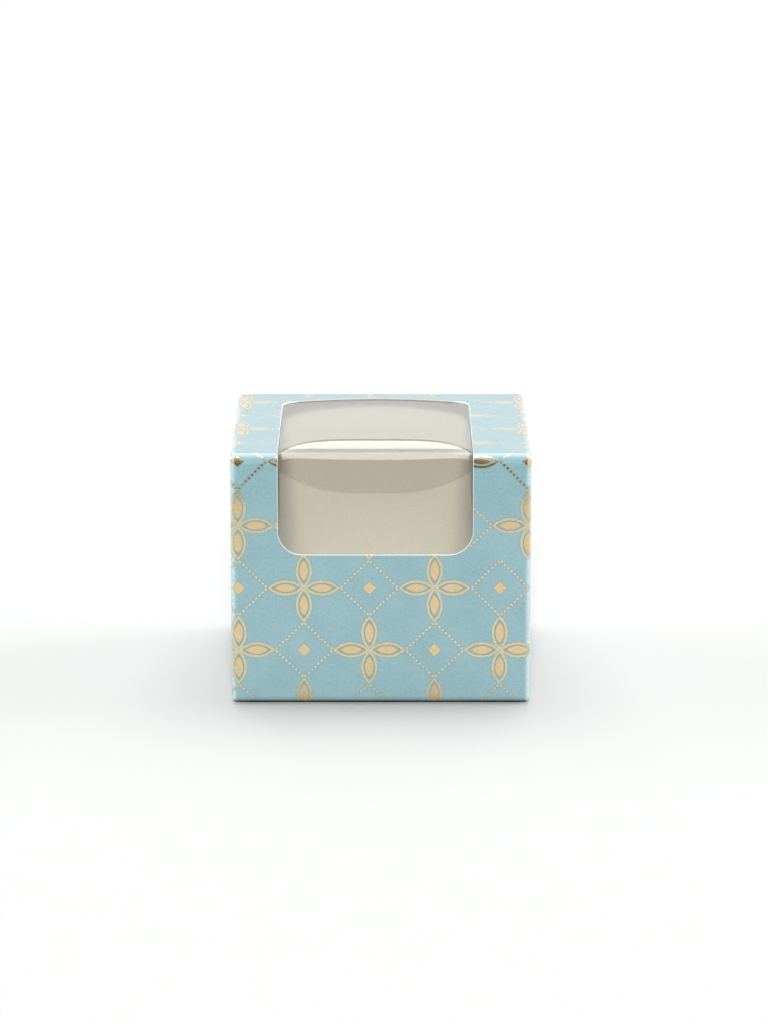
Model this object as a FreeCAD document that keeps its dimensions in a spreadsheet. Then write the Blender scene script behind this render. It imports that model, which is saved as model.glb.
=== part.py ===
"""Windowed folding sweet box: a creased board tube with a tuck lid, a tuck base and a clear window patch.

Front faces -Y, top faces +Z, the base rests on Z = 0 and the origin is under the middle of the box.
Each panel is drawn flat with its outer face at its own Z = 0, gets half of every fold on its edges,
and is then stood up in its place. Two half folds meet on the plane that halves the fold.
"""
import FreeCAD, Part
import math
import os
import re
import Sketcher

doc = FreeCAD.newDocument("sweet_box")

# Sizes in millimetres and degrees
SIZES = (
    ("box_width", "88.9"),
    ("box_depth", "88.9"),
    ("box_height", "76.2"),
    ("board_thickness", "0.4"),
    ("fold_radius", "1.2"),
    ("fold_angle", "90"),
    ("lid_side_clearance", "0.45"),
    ("closure_flap_gap", "0.3"),
    ("back_edge_inset", "0.3"),
    ("seam_glue_gap", "0.05"),
    ("glue_flap_width", "13"),
    ("glue_flap_taper", "5"),
    ("tuck_wall_gap", "0.4"),
    ("tuck_length", "16"),
    ("tuck_lean", "8"),
    ("tuck_side_step", "1.1"),
    ("tuck_side_taper", "2.5"),
    ("tuck_corner_radius", "8"),
    ("flap_front_gap", "1.3"),
    ("flap_back_gap", "1.0"),
    ("flap_back_taper", "2"),
    ("flap_corner_radius", "2.5"),
    ("flap_front_slope_share", "1"),
    ("flap_film_gap", "0.5"),
    ("base_flap_reach", "26"),
    ("base_flap_corner_radius", "4"),
    ("window_left_margin", "14"),
    ("window_right_margin", "17.2"),
    ("window_drop", "30.2"),
    ("window_back_margin", "8.4"),
    ("window_bow", "2.2"),
    ("window_corner_radius", "7.2"),
    ("film_thickness", "0.15"),
    ("film_margin", "3.5"),
    ("film_back_margin", "2"),
    ("film_bend_radius", "5"),
)
sheet = doc.addObject("Spreadsheet::Sheet", "Sizes")
for row, (alias, number) in enumerate(SIZES, 1):
    sheet.set("A%d" % row, alias)
    sheet.set("B%d" % row, number)
    sheet.setAlias("B%d" % row, alias)
doc.recompute()

# Lengths that several pieces share
HALF_WIDTH = "(box_width / 2)"
HALF_DEPTH = "(box_depth / 2)"
FLAT_X = "(box_width / 2 - fold_radius)"
FLAT_Y = "(box_depth / 2 - fold_radius)"
SIDE_LOW = "(board_thickness + closure_flap_gap + fold_radius)"
SIDE_HIGH = "(box_height - board_thickness - closure_flap_gap - fold_radius)"
SEAM_Y = "(box_depth / 2 - board_thickness - seam_glue_gap)"
TUCK_Y = "(box_depth / 2 - 2 * board_thickness - seam_glue_gap - tuck_wall_gap - fold_radius)"
LID_X = "(box_width / 2 - lid_side_clearance)"
TUCK_X = "(box_width / 2 - lid_side_clearance - tuck_side_step)"
FLAP_FRONT = "(0 - box_depth / 2 + fold_radius + flap_front_gap)"
FLAP_BACK = "(%s - flap_back_gap)" % TUCK_Y
TOP_REACH = "(window_left_margin - film_margin - flap_film_gap)"
WINDOW_LEFT = "(window_left_margin - box_width / 2)"
WINDOW_RIGHT = "(box_width / 2 - window_right_margin)"
HALF_FOLD = "(fold_angle / 2)"
HALF_TUCK_FOLD = "((fold_angle + tuck_lean) / 2)"


def bind(text):
    """Return the expression with every size name pointed at the sheet."""
    return re.sub(r"[a-z]+(?:_[a-z]+)+", lambda found: "Sizes." + found.group(0), text)


def plane_of(body, role):
    """Return one of the body's own origin planes."""
    return next(item for item in body.Origin.OriginFeatures if item.Role == role)


def draw(body, name, role, corners, offset, arcs):
    """Draw a closed outline through the corners, counter-clockwise.

    offset moves the sketch off its plane, and arcs gives the height of the centre of each bowed side.
    """
    sketch = body.newObject("Sketcher::SketchObject", name)
    sketch.AttachmentSupport = (plane_of(body, role), [""])
    sketch.MapMode = "FlatFace"
    for axis, text in offset.items():
        sketch.setExpression("AttachmentOffset.Base." + axis, bind(text))
    count = len(corners)
    turns = [2 * math.pi * (index + 0.5) / count - 0.75 * math.pi for index in range(count)]
    first = [FreeCAD.Vector(math.cos(turn), math.sin(turn), 0) * count for turn in turns]
    up = FreeCAD.Vector(0, 0, 1)
    for index in range(count):
        if index in arcs:
            circle = Part.Circle(FreeCAD.Vector(), up, count)
            step = 2 * math.pi / count
            sketch.addGeometry(Part.ArcOfCircle(circle, turns[index], turns[index] + step))
        else:
            sketch.addGeometry(Part.LineSegment(first[index], first[(index + 1) % count]))
    for index in range(count):
        sketch.addConstraint(Sketcher.Constraint("Coincident", index, 2, (index + 1) % count, 1))
    for index, (across, along) in enumerate(corners):
        for kind, text, now in (("DistanceX", across, first[index].x), ("DistanceY", along, first[index].y)):
            made = sketch.addConstraint(Sketcher.Constraint(kind, -1, 1, index, 1, now))
            sketch.setExpression("Constraints[%d]" % made, bind(text))
    for index, text in arcs.items():
        made = sketch.addConstraint(Sketcher.Constraint("DistanceY", -1, 1, index, 3, 0))
        sketch.setExpression("Constraints[%d]" % made, bind(text))
    return sketch


def new_body(label):
    """Return an empty body for one panel."""
    body = doc.addObject("PartDesign::Body", label)
    body.Label = label
    return body


def add_sheet(body, corners, thickness):
    """Give the body its flat sheet, with the outer face at Z = 0."""
    sketch = draw(body, body.Name + "_outline", "XY_Plane", corners, {}, {})
    pad = body.newObject("PartDesign::Pad", body.Name + "_sheet")
    pad.Profile = sketch
    pad.Reversed = True
    pad.setExpression("Length", bind(thickness))
    return pad, sketch


def add_fold(body, side, edge, start, end, angle, radius="fold_radius", thickness="board_thickness"):
    """Curl one edge of the sheet inwards by the angle, between start and end along the edge."""
    name = "%s_%s_fold" % (body.Name, side)
    inner = "%s - %s" % (radius, thickness)
    corners = ((start, inner), (end, inner), (end, radius), (start, radius))
    upright = side in ("left", "right")
    away = edge if upright else "0 - %s" % edge
    offset = {"y": "0 - %s" % radius, "z": away}
    sketch = draw(body, name + "_section", "YZ_Plane" if upright else "XZ_Plane", corners, offset, {})
    fold = body.newObject("PartDesign::Revolution", name)
    fold.Profile = sketch
    fold.ReferenceAxis = (sketch, ["H_Axis"])
    fold.Reversed = side in ("left", "top")
    fold.setExpression("Angle", bind(angle))
    return fold


def add_window(body, corners, arcs):
    """Cut the window notch through the sheet and its fold."""
    sketch = draw(body, body.Name + "_window", "XY_Plane", corners, {}, arcs)
    cut = body.newObject("PartDesign::Pocket", body.Name + "_window_cut")
    cut.Profile = sketch
    cut.Type = "ThroughAll"
    cut.SideType = "Symmetric"
    return cut, sketch


def round_corners(body, feature, sketch, corners, radius):
    """Round the sheet at the given corners of the sketch."""
    doc.recompute()
    names = []
    for corner in corners:
        spot = sketch.Geometry[corner].StartPoint
        for number, edge in enumerate(feature.Shape.Edges, 1):
            ends = [vertex.Point for vertex in edge.Vertexes]
            if len(ends) == 2 and all(math.hypot(end.x - spot.x, end.y - spot.y) < 1e-6 for end in ends):
                names.append("Edge%d" % number)
    rounding = body.newObject("PartDesign::Fillet", feature.Name + "_rounding")
    rounding.Base = (feature, names)
    rounding.setExpression("Radius", bind(radius))
    return rounding


def stand(body, base, *turns):
    """Put the body in its place: base is where its own origin goes, turns are applied from the last."""
    whole = " * ".join(
        "create(<<rotation>>; create(<<vector>>; %s; %s; %s); %s)" % (*axis, bind(angle)) for axis, angle in turns
    )
    spot = "create(<<vector>>; %s; %s; %s)" % tuple(bind(text) for text in base)
    body.setExpression("Placement", "create(<<placement>>; %s; %s)" % (spot, whole))


ABOUT_X = ("1", "0", "0")
ABOUT_Y = ("0", "1", "0")
ABOUT_Z = ("0", "0", "1")
UPRIGHT = (ABOUT_X, "fold_angle")


def box(left, low, right, high):
    """Return the corners of an upright rectangle."""
    return ((left, low), (right, low), (right, high), (left, high))


def minus(text):
    """Return the expression with its sign turned."""
    return "(0 - %s)" % text


# Front wall, with folds to both side walls, to the lid and to the base
front = new_body("front_panel")
front_low, front_high = "fold_radius", "(box_height - fold_radius)"
add_sheet(front, box(minus(FLAT_X), front_low, FLAT_X, front_high), "board_thickness")
add_fold(front, "bottom", front_low, minus(FLAT_X), FLAT_X, HALF_FOLD)
add_fold(front, "top", front_high, minus(FLAT_X), FLAT_X, HALF_FOLD)
add_fold(front, "left", minus(FLAT_X), front_low, front_high, HALF_FOLD)
add_fold(front, "right", FLAT_X, front_low, front_high, HALF_FOLD)
window_low = "(box_height - window_drop)"
notch = box(WINDOW_LEFT, window_low, WINDOW_RIGHT, "(box_height + fold_radius)")
front_cut, front_notch = add_window(front, notch, {})
round_corners(front, front_cut, front_notch, (0, 1), "window_corner_radius")
stand(front, ("0", minus(HALF_DEPTH), "0"), UPRIGHT)

# Right wall
right = new_body("right_panel")
add_sheet(right, box(minus(FLAT_Y), SIDE_LOW, FLAT_Y, SIDE_HIGH), "board_thickness")
add_fold(right, "left", minus(FLAT_Y), SIDE_LOW, SIDE_HIGH, HALF_FOLD)
add_fold(right, "right", FLAT_Y, SIDE_LOW, SIDE_HIGH, HALF_FOLD)
add_fold(right, "bottom", SIDE_LOW, FLAP_FRONT, FLAP_BACK, HALF_FOLD)
add_fold(right, "top", SIDE_HIGH, FLAP_FRONT, FLAP_BACK, HALF_FOLD)
stand(right, (HALF_WIDTH, "0", "0"), (ABOUT_Z, "fold_angle"), UPRIGHT)

# Back wall, with a cut edge at the seam, the top and the bottom
back = new_body("back_panel")
seam_edge = "(box_width / 2 - back_edge_inset)"
back_high = "(box_height - back_edge_inset)"
add_sheet(back, box(minus(FLAT_X), "back_edge_inset", seam_edge, back_high), "board_thickness")
add_fold(back, "left", minus(FLAT_X), SIDE_LOW, SIDE_HIGH, HALF_FOLD)
stand(back, ("0", HALF_DEPTH, "0"), (ABOUT_Z, "2 * fold_angle"), UPRIGHT)

# Left wall, a little shallower so that its glue flap lies inside the back wall
left = new_body("left_panel")
seam_flat = "(%s - fold_radius)" % SEAM_Y
add_sheet(left, box(minus(seam_flat), SIDE_LOW, FLAT_Y, SIDE_HIGH), "board_thickness")
add_fold(left, "left", minus(seam_flat), SIDE_LOW, SIDE_HIGH, HALF_FOLD)
add_fold(left, "right", FLAT_Y, SIDE_LOW, SIDE_HIGH, HALF_FOLD)
add_fold(left, "bottom", SIDE_LOW, minus(FLAP_BACK), minus(FLAP_FRONT), HALF_FOLD)
add_fold(left, "top", SIDE_HIGH, minus(FLAP_BACK), minus(FLAP_FRONT), HALF_FOLD)
stand(left, (minus(HALF_WIDTH), "0", "0"), (ABOUT_Z, "3 * fold_angle"), UPRIGHT)

# Glue flap on the left wall's back edge
glue = new_body("glue_flap")
glue_tip = "(box_width / 2 - glue_flap_width)"
glue_corners = (
    (glue_tip, "(%s + glue_flap_taper)" % SIDE_LOW),
    (FLAT_X, SIDE_LOW),
    (FLAT_X, SIDE_HIGH),
    (glue_tip, "(%s - glue_flap_taper)" % SIDE_HIGH),
)
add_sheet(glue, glue_corners, "board_thickness")
add_fold(glue, "right", FLAT_X, SIDE_LOW, SIDE_HIGH, HALF_FOLD)
stand(glue, ("0", SEAM_Y, "0"), (ABOUT_Z, "2 * fold_angle"), UPRIGHT)

# Lid and base, each folded from the front wall, with a fold to its tuck flap
UNDER = (ABOUT_Y, "2 * fold_angle")
for label, height, turn in (("lid_panel", "box_height", (ABOUT_Y, "0")), ("base_panel", "0", UNDER)):
    panel = new_body(label)
    add_sheet(panel, box(minus(LID_X), minus(FLAT_Y), LID_X, TUCK_Y), "board_thickness")
    add_fold(panel, "bottom", minus(FLAT_Y), minus(FLAT_X), FLAT_X, HALF_FOLD)
    add_fold(panel, "top", TUCK_Y, minus(TUCK_X), TUCK_X, HALF_TUCK_FOLD)
    if label == "lid_panel":
        reach = "(box_depth / 2 - window_back_margin)"
        half = "((%s - %s) / 2)" % (WINDOW_RIGHT, WINDOW_LEFT)
        bow_radius = "((%s * %s + window_bow * window_bow) / (2 * window_bow))" % (half, half)
        bow_centre = "(%s + window_bow - %s)" % (reach, bow_radius)
        notch = box(WINDOW_LEFT, minus("(box_depth / 2 + fold_radius)"), WINDOW_RIGHT, reach)
        lid_cut, lid_notch = add_window(panel, notch, {2: bow_centre})
        round_corners(panel, lid_cut, lid_notch, (2, 3), "window_corner_radius")
    stand(panel, ("0", "0", height), turn)

# Tuck flaps, leaning inwards so that they slide in behind the back wall
tuck_out = "(%s + fold_radius * cos(tuck_lean))" % TUCK_Y
tuck_in = "(fold_radius + fold_radius * sin(tuck_lean))"
tuck_tip = "(%s - tuck_side_taper)" % TUCK_X
tuck_corners = (
    (minus(TUCK_X), "0"),
    (TUCK_X, "0"),
    (tuck_tip, "tuck_length"),
    (minus(tuck_tip), "tuck_length"),
)
tuck_turn = "fold_angle + tuck_lean"
TUCKS = (
    ("lid_tuck_flap", "(box_height - %s)" % tuck_in, ((ABOUT_X, minus("(%s)" % tuck_turn)),)),
    ("base_tuck_flap", tuck_in, ((ABOUT_X, tuck_turn), UNDER)),
)
for label, height, turns in TUCKS:
    tuck = new_body(label)
    tuck_sheet, tuck_outline = add_sheet(tuck, tuck_corners, "board_thickness")
    tuck_fold = add_fold(tuck, "bottom", "0", minus(TUCK_X), TUCK_X, HALF_TUCK_FOLD)
    round_corners(tuck, tuck_fold, tuck_outline, (2, 3), "tuck_corner_radius")
    stand(tuck, ("0", tuck_out, height), *turns)

# Dust flaps on the side walls, cut back at the front so that the lid and base lift clear of them first
flap_level = "(board_thickness + closure_flap_gap)"
top_level = "(box_height - %s)" % flap_level
LEFTWARD = (ABOUT_Z, minus("fold_angle"))
RIGHTWARD = (ABOUT_Z, "fold_angle")
FLAPS = (
    ("top_dust_flap_left", minus(FLAT_X), top_level, (LEFTWARD,), -1, TOP_REACH, "flap_corner_radius"),
    ("top_dust_flap_right", FLAT_X, top_level, (RIGHTWARD,), 1, TOP_REACH, "flap_corner_radius"),
    ("base_dust_flap_left", minus(FLAT_X), flap_level, (UNDER, RIGHTWARD), 1, "base_flap_reach", "base_flap_corner_radius"),
    ("base_dust_flap_right", FLAT_X, flap_level, (UNDER, LEFTWARD), -1, "base_flap_reach", "base_flap_corner_radius"),
)
for label, across, height, turns, way, reach, rounding in FLAPS:
    flap = new_body(label)
    length = "(%s - fold_radius)" % reach
    tip_front = "(%s + %s * flap_front_slope_share)" % (FLAP_FRONT, length)
    tip_back = "(%s - flap_back_taper)" % FLAP_BACK
    if way > 0:
        corners = ((FLAP_FRONT, "0"), (FLAP_BACK, "0"), (tip_back, length), (tip_front, length))
        root_start, root_end = FLAP_FRONT, FLAP_BACK
    else:
        root_start, root_end = minus(FLAP_BACK), minus(FLAP_FRONT)
        corners = ((root_start, "0"), (root_end, "0"), (minus(tip_front), length), (minus(tip_back), length))
    flap_sheet, flap_outline = add_sheet(flap, corners, "board_thickness")
    flap_fold = add_fold(flap, "bottom", "0", root_start, root_end, HALF_FOLD)
    round_corners(flap, flap_fold, flap_outline, (2, 3), rounding)
    stand(flap, (across, "0", height), *turns)

# Clear window patch: two flat panes behind the board and the bend between them
film_left = "(%s - film_margin)" % WINDOW_LEFT
film_right = "(%s + film_margin)" % WINDOW_RIGHT
film_high = "(box_height - board_thickness - film_bend_radius)"
film_near = "(board_thickness + film_bend_radius - box_depth / 2)"
film_far = "(box_depth / 2 - window_back_margin + window_bow + film_back_margin)"
behind_front = ("0", "(board_thickness - box_depth / 2)", "0")
pane = new_body("window_film_front")
add_sheet(pane, box(film_left, "(%s - film_margin)" % window_low, film_right, film_high), "film_thickness")
stand(pane, behind_front, UPRIGHT)
bend = new_body("window_film_bend")
add_fold(bend, "top", film_high, film_left, film_right, "fold_angle", "film_bend_radius", "film_thickness")
stand(bend, behind_front, UPRIGHT)
pane = new_body("window_film_lid")
add_sheet(pane, box(film_left, film_near, film_right, film_far), "film_thickness")
stand(pane, ("0", "0", "(box_height - board_thickness)"), (ABOUT_Y, "0"))

doc.recompute()

# Every piece is checked, then written to its own file
os.makedirs("parts", exist_ok=True)
wrong = [item.Name for item in doc.Objects if "Invalid" in item.State or "Error" in item.State]
if wrong:
    raise RuntimeError("not built: " + ", ".join(wrong))
for item in doc.Objects:
    if item.TypeId != "PartDesign::Body":
        continue
    if not item.Shape.isValid() or len(item.Shape.Solids) != 1:
        raise RuntimeError("not one sound solid: " + item.Label)
    item.Shape.exportStep("parts/%s.step" % item.Label)
    frame = item.Shape.BoundBox
    low = (frame.XMin, frame.YMin, frame.ZMin)
    high = (frame.XMax, frame.YMax, frame.ZMax)
    print(item.Label, [round(x, 2) for x in low], [round(x, 2) for x in high], round(item.Shape.Volume, 1))
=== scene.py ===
"""Windowed sweet box: foil-printed carton board and a clear film patch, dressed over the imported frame."""

import logging
import math
from dataclasses import dataclass
from enum import Enum, IntEnum
from typing import Callable, NamedTuple, Optional, Sequence

import bmesh
import bpy
import numpy as np
from bpy.types import ID, Material, Node, NodeSocket, NodeTree, Object
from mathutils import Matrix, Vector
from mathutils.geometry import delaunay_2d_cdt


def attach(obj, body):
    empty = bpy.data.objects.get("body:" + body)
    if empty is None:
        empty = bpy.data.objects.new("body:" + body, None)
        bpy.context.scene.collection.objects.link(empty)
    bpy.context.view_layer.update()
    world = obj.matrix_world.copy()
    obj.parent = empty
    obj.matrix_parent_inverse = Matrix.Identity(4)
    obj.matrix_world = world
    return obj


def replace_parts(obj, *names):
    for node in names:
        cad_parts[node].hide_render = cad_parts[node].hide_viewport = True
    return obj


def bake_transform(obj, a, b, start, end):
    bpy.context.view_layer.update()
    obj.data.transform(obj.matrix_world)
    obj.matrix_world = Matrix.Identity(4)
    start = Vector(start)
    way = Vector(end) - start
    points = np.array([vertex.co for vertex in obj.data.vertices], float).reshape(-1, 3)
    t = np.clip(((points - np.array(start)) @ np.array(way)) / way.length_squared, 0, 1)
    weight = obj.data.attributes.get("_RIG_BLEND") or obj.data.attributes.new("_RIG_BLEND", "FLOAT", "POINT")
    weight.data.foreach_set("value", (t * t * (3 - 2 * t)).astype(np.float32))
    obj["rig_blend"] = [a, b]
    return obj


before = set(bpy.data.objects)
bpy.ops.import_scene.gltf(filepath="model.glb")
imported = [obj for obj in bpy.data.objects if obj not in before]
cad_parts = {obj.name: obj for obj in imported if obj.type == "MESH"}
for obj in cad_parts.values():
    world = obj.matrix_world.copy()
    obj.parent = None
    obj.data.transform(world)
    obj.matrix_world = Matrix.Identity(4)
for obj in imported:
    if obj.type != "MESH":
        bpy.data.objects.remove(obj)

log = logging.getLogger("sweet_box")
MM = 0.001
# Millimetres of flat board in one unit of its UV map
UV_UNIT = 100.0
# Faces that meet at less than this angle in radians are shaded as one
SMOOTH_ANGLE = 0.6
Outline = list[tuple[float, float, float, float]]
Way = tuple[float, float, float]


class Face(IntEnum):
    """Material slots of a piece of board."""

    PRINT = 0
    EDGE = 1
    REVERSE = 2


class End(Enum):
    """The two closures of the carton, with the sign of their outward way along Z."""

    TOP = 1
    BASE = -1


class Side(Enum):
    """The two side walls, with the sign of their outward way along X."""

    LEFT = -1
    RIGHT = 1


def linear(colour: str, alpha: float = 1.0) -> tuple[float, float, float, float]:
    """Turns an sRGB hex colour to linear light.

    Args:
        colour: six hex digits.
        alpha: fourth value of the result.

    Returns:
        Linear red, green, blue and alpha.
    """
    parts = [int(colour[i : i + 2], 16) / 255 for i in (0, 2, 4)]
    light = [p / 12.92 if p <= 0.04045 else ((p + 0.055) / 1.055) ** 2.4 for p in parts]
    return (light[0], light[1], light[2], alpha)


def add(tree: NodeTree, kind: str, links: list | dict = (), **settings: object) -> Node:
    """Adds one node with its settings and links.

    Args:
        tree: node tree that takes the node.
        kind: Blender's name of the node type without its prefix, and after a space any operation.
        links: what the first inputs take, or input name or number to what it takes: a constant, a socket,
            or a node whose first output is used.
        settings: other properties of the node.

    Returns:
        The new node.
    """
    name, _, operation = kind.partition(" ")
    node = tree.nodes.new("ShaderNode" + name)
    if operation:
        node.operation = operation
    for key, value in settings.items():
        setattr(node, key, value)
    for key, value in links.items() if isinstance(links, dict) else enumerate(links):
        if isinstance(value, Node):
            value = value.outputs[0]
        if isinstance(value, NodeSocket):
            tree.links.new(value, node.inputs[key])
        else:
            node.inputs[key].default_value = value
    return node


def new_material(name: str) -> tuple[Material, NodeTree]:
    """Makes an empty node material.

    Args:
        name: name of the real material.

    Returns:
        The material and its node tree.
    """
    material = bpy.data.materials.new(name)
    material.use_nodes = True
    material.node_tree.nodes.clear()
    return material, material.node_tree


def ramp(node: Node, stops: Sequence[tuple[float, str | float]]) -> Node:
    """Sets the stops of a colour ramp node.

    Args:
        node: the colour ramp.
        stops: place of each stop, in order, and its sRGB hex colour or its brightness.

    Returns:
        The same node.
    """
    band = node.color_ramp
    while len(band.elements) < len(stops):
        band.elements.new(1.0)
    for element, (place, colour) in zip(band.elements, stops):
        element.position = place
        element.color = linear(colour) if isinstance(colour, str) else (colour, colour, colour, 1.0)
    return node


def diagonals(tree: NodeTree, vector: Node, size: float) -> list[NodeSocket]:
    """Measures a vector along both diagonals of the lattice.

    Args:
        tree: node tree that takes the nodes.
        vector: node that gives the vector.
        size: both parts of the diagonal that it is measured on.

    Returns:
        Its lengths along the rising and the falling diagonal.
    """
    ways = ((size, size, 0), (size, -size, 0))
    return [add(tree, "VectorMath DOT_PRODUCT", [vector, way]).outputs["Value"] for way in ways]


class Lattice(NamedTuple):
    """Signed depths inside the parts of the foil lattice, and the blank's coordinates in mm."""

    border: Node
    core: Node
    dots: Node
    hollow: Node
    blank: Node


@dataclass(frozen=True)
class FoilPrintedBoard:
    """Coated carton board, offset printed in pale blue, satin varnished and hot stamped with gold foil."""

    # The ink lies in the coating and gives an even pale blue with a fine mottle, the varnish a soft
    # sheen that whitens at a low angle, and the foil mirrors the room in pale gold, with painted shade at its
    # rim.
    ink: str = "7D9BA1"
    ink_deep: str = "6A8A91"
    band: str = "DDD5B1"
    core: str = "EBCF9E"
    dot: str = "D2D9C8"
    # Dark olive of the foil's pinholes and of the painted shade along the foil's edge
    rim: str = "77765F"
    worn: str = "C3CFCF"
    mottle_mm: float = 0.7
    cloud_mm: float = 11.1111
    foil_mm: float = 0.03
    varnish_rough: tuple[float, float] = (0.27, 0.33)
    foil_rough: float = 0.24
    varnish: float = 0.4
    lacquer: float = 1.0
    coat_rough: float = 0.2
    ior: float = 1.5
    crack_mm: tuple[float, float] = (0.5, 1.5)
    # How strongly the mottle, the clouds, the pinholes, the painted shade at the foil's rim, the gap in a petal
    # and the foil's step show
    mottle: float = 0.65
    clouds: float = 0.5
    pinholes: float = 0.13
    edge_shade_share: float = 0.5
    gap_share: float = 0.62
    foil_step: float = 0.35
    # Places on the blank in mm: the folds, one flower and the next, and the strip that is out of step
    fold_s: float = 44.19
    fold_pitch: float = 88.385
    flower_s: float = -22.83
    flower_h: float = 36.01
    pitch_s: float = 19.40
    pitch_h: float = 19.045
    strip_start: float = 26.0
    strip_end: float = 45.2
    strip_foot: float = 44.6
    strip_head: float = 161.2
    strip_step: float = 8.26
    pull_start: float = 60.0
    pull_end: float = 73.0
    pull: float = 0.5
    # Sizes in half pitches: the rows on the lid, the petals and what lies between them
    lid_row: float = 2.445
    lid_step: float = 0.89
    petals: tuple[tuple[float, float], ...] = ((0.553, 0.252), (0.447, 0.170), (0.335, 0.130))
    petal_middle: float = 0.2765
    petal_tip: float = 0.555
    dots_a_side: int = 9
    dot_radius: float = 0.0235
    diamond: float = 0.106

    def lattice(self, tree: NodeTree) -> Lattice:
        """Draws the four-petal and dotted-diamond lattice in half pitches of the blank.

        Args:
            tree: node tree that takes the nodes.

        Returns:
            The signed depths, positive inside, and the blank's coordinates.
        """
        uv = add(tree, "UVMap", uv_map="blank")
        blank = add(tree, "VectorMath SCALE", {0: uv, 3: UV_UNIT})
        s, h, _ = add(tree, "SeparateXYZ", [blank]).outputs
        # The strip right of the window is printed a little out of step with the rest
        strip = 1.0
        for place, limit, test in (
            (s, self.strip_start, "GREATER_THAN"), (s, self.strip_end, "LESS_THAN"),
            (h, self.strip_foot, "GREATER_THAN"), (h, self.strip_head, "LESS_THAN"),
        ):
            passed = add(tree, f"Math {test}", [place, limit])
            strip = add(tree, "Math MULTIPLY", [strip, passed])
        step = add(tree, "Math MULTIPLY_ADD", [strip, -self.strip_step, s])
        # On the lid a second dotted diamond follows the one that lies over the crease
        lid_start = self.flower_h + self.lid_row * self.pitch_h
        over = add(tree, "Math GREATER_THAN", [h, lid_start])
        # Toward the crease the print is drawn up a little
        limits = {0: h, 1: self.pull_start, 2: self.pull_end, 4: -self.pull}
        pulled = add(tree, "MapRange", limits, interpolation_type="SMOOTHSTEP")
        height = add(tree, "Math ADD", [h, pulled])
        rows = add(tree, "Math MULTIPLY_ADD", [over, -self.lid_step * self.pitch_h, height])
        moved = add(tree, "CombineXYZ", [step, rows])
        shifted = add(tree, "VectorMath SUBTRACT", [moved, (self.flower_s, self.flower_h, 0)])
        shares = (1 / self.pitch_s, 1 / self.pitch_h, 0)
        cell = add(tree, "VectorMath MULTIPLY", [shifted, shares])
        # The place from the nearest flower, folded into one eighth turn about it
        half = (0.5, 0.5, 0)
        turned = add(tree, "VectorMath ADD", [add(tree, "CombineXYZ", diagonals(tree, cell, 0.5)), half])
        share = add(tree, "VectorMath FRACTION", [turned])
        near = add(tree, "VectorMath SUBTRACT", [share, half])
        du, dv = (add(tree, "Math ABSOLUTE", [x]) for x in diagonals(tree, near, 1.0))
        p, q = (add(tree, f"Math {pick}", [du, dv]) for pick in ("MAXIMUM", "MINIMUM"))
        pq = add(tree, "CombineXYZ", [p, q])
        leaves, backs = [], []
        for length, width in self.petals:
            radius = (length * length + width * width) / (4 * width)
            centre = (self.petal_middle, width / 2 - radius, 0)
            far = add(tree, "VectorMath DISTANCE", [pq, centre]).outputs["Value"]
            leaves.append(add(tree, "Math SUBTRACT", [radius, far]))
            backs.append(add(tree, "Math SUBTRACT", [far, radius]))
        border, hollow = (add(tree, "Math MINIMUM", [leaves[k], backs[k + 1]]) for k in (0, 1))
        # Dotted line from each petal's tip to the next
        tip = add(tree, "VectorMath SUBTRACT", [pq, (self.petal_tip, 0, 0)])
        slant = math.sqrt(0.5)
        spacing = (1 - self.petal_tip) / slant / self.dots_a_side
        run, off = diagonals(tree, tip, slant)
        beat = add(tree, "Math FLOORED_MODULO", [run, spacing])
        beat = add(tree, "Math SUBTRACT", [beat, spacing / 2])
        reach = add(tree, "VectorMath LENGTH", [add(tree, "CombineXYZ", [beat, off])]).outputs["Value"]
        dots = add(tree, "Math SUBTRACT", [self.dot_radius + 1.0, reach])
        along = add(tree, "Math GREATER_THAN", [run, 0.0])
        dots = add(tree, "Math MULTIPLY_ADD", [dots, along, -1.0])
        # Small diamond in the middle of each dotted one
        from_middle = add(tree, "Math ADD", [add(tree, "Math SUBTRACT", [1.0, p]), q])
        diamond = add(tree, "Math SUBTRACT", [self.diamond, from_middle])
        core = add(tree, "Math MAXIMUM", [leaves[2], diamond])
        return Lattice(border, core, dots, hollow, blank)

    def build(self) -> Material:
        """Makes the material and returns it."""
        material, tree = new_material("satin_printed_board_gold_foil")
        lattice = self.lattice(tree)
        grain, cloud = (
            add(tree, "TexNoise", {"Vector": lattice.blank, "Scale": 1 / size, "Detail": detail})
            for size, detail in ((self.mottle_mm, 2.0), (self.cloud_mm, 3.0))
        )
        tone = add(tree, "Math MULTIPLY", [grain, self.mottle])
        tone = add(tree, "Math MULTIPLY_ADD", [cloud, self.clouds, tone])
        ink = ramp(add(tree, "ValToRGB", [tone]), ((0.30, self.ink_deep), (0.85, self.ink)))
        # The coating cracks a little along the upright folds, which pales the ink there
        fold = add(tree, "Math SUBTRACT", [add(tree, "SeparateXYZ", [lattice.blank]), self.fold_s])
        fold = add(tree, "Math PINGPONG", [fold, self.fold_pitch / 2])
        crack = add(tree, "MapRange", [fold, *self.crack_mm, 1.0, 0.0])
        patchy = add(tree, "MapRange", [grain, 0.3, 0.7, 0.3, 0.6])
        crack = add(tree, "Math MULTIPLY", [crack, patchy])
        # Masks of the foil, its leaves and its dots
        foil = add(tree, "Math MAXIMUM", [lattice.border, lattice.core])
        foil = add(tree, "Math MAXIMUM", [foil, lattice.dots])
        body = add(tree, "MapRange", [foil, -0.001, 0.006])
        leaf, bead = (add(tree, "MapRange", [depth, -0.006, 0.006]) for depth in (lattice.core, lattice.dots))
        # Pinholes where the foil did not take leave a fine speckle in it
        pinholes = add(tree, "MapRange", [grain, 0.40, 0.56, self.pinholes, 0.0])
        gold = linear(self.band)
        for share, tint in ((leaf, self.core), (bead, self.dot), (pinholes, self.rim)):
            gold = add(tree, "Mix", {0: share, 6: gold, 7: linear(tint)}, data_type="RGBA").outputs[2]
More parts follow.
